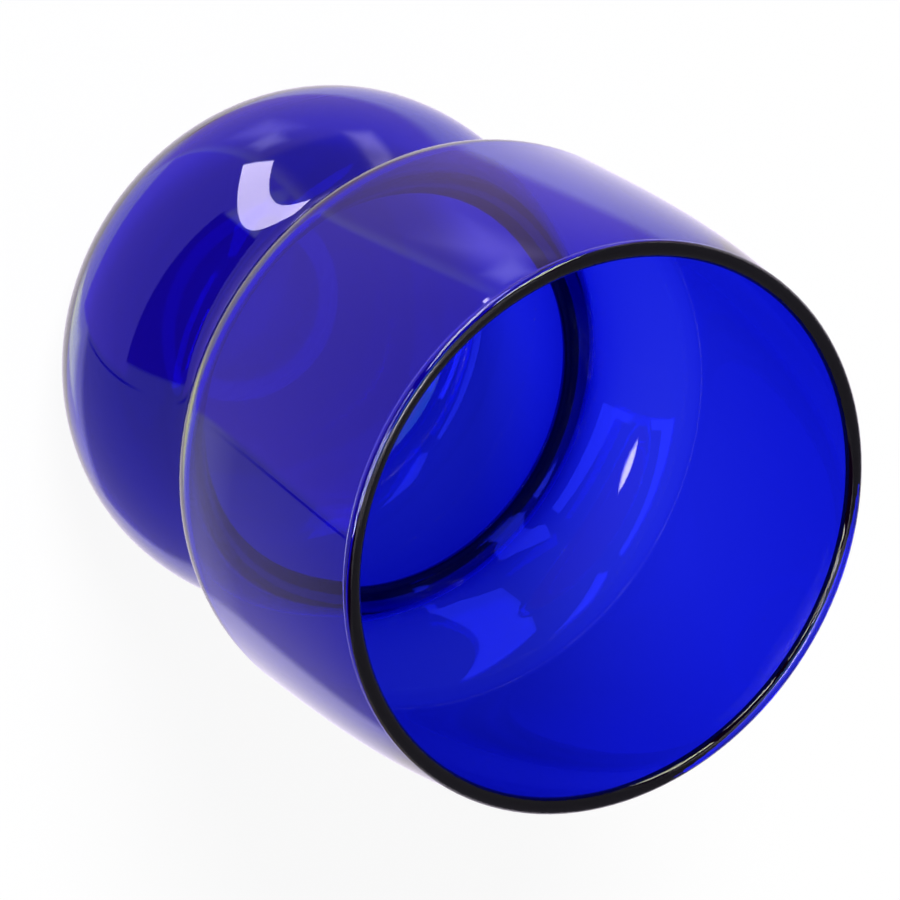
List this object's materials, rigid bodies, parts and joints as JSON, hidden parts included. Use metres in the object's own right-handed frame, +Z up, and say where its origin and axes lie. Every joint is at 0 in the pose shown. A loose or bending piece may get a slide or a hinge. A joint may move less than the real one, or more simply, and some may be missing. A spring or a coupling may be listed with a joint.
{
  "type": "drinking glass",
  "caption": "Blown blue glass tumbler: a barrel-shaped bowl over a round bulb foot, pinched at the waist, with a rounded rim bead; one hollow, open at the top.",
  "frame": {"origin": "on the table, under the middle of the foot", "axes": "+Z up, along the axis that the glass is round about; X and Y are level and alike"},
  "size_m": [0.0858, 0.0858, 0.1015],
  "materials": {
    "blue_glass": "clear cobalt-blue, fire polished"
  },
  "bodies": {
    "root": {"bowl": "blue_glass", "foot_bulb": "blue_glass"}
  },
  "joints": []
}
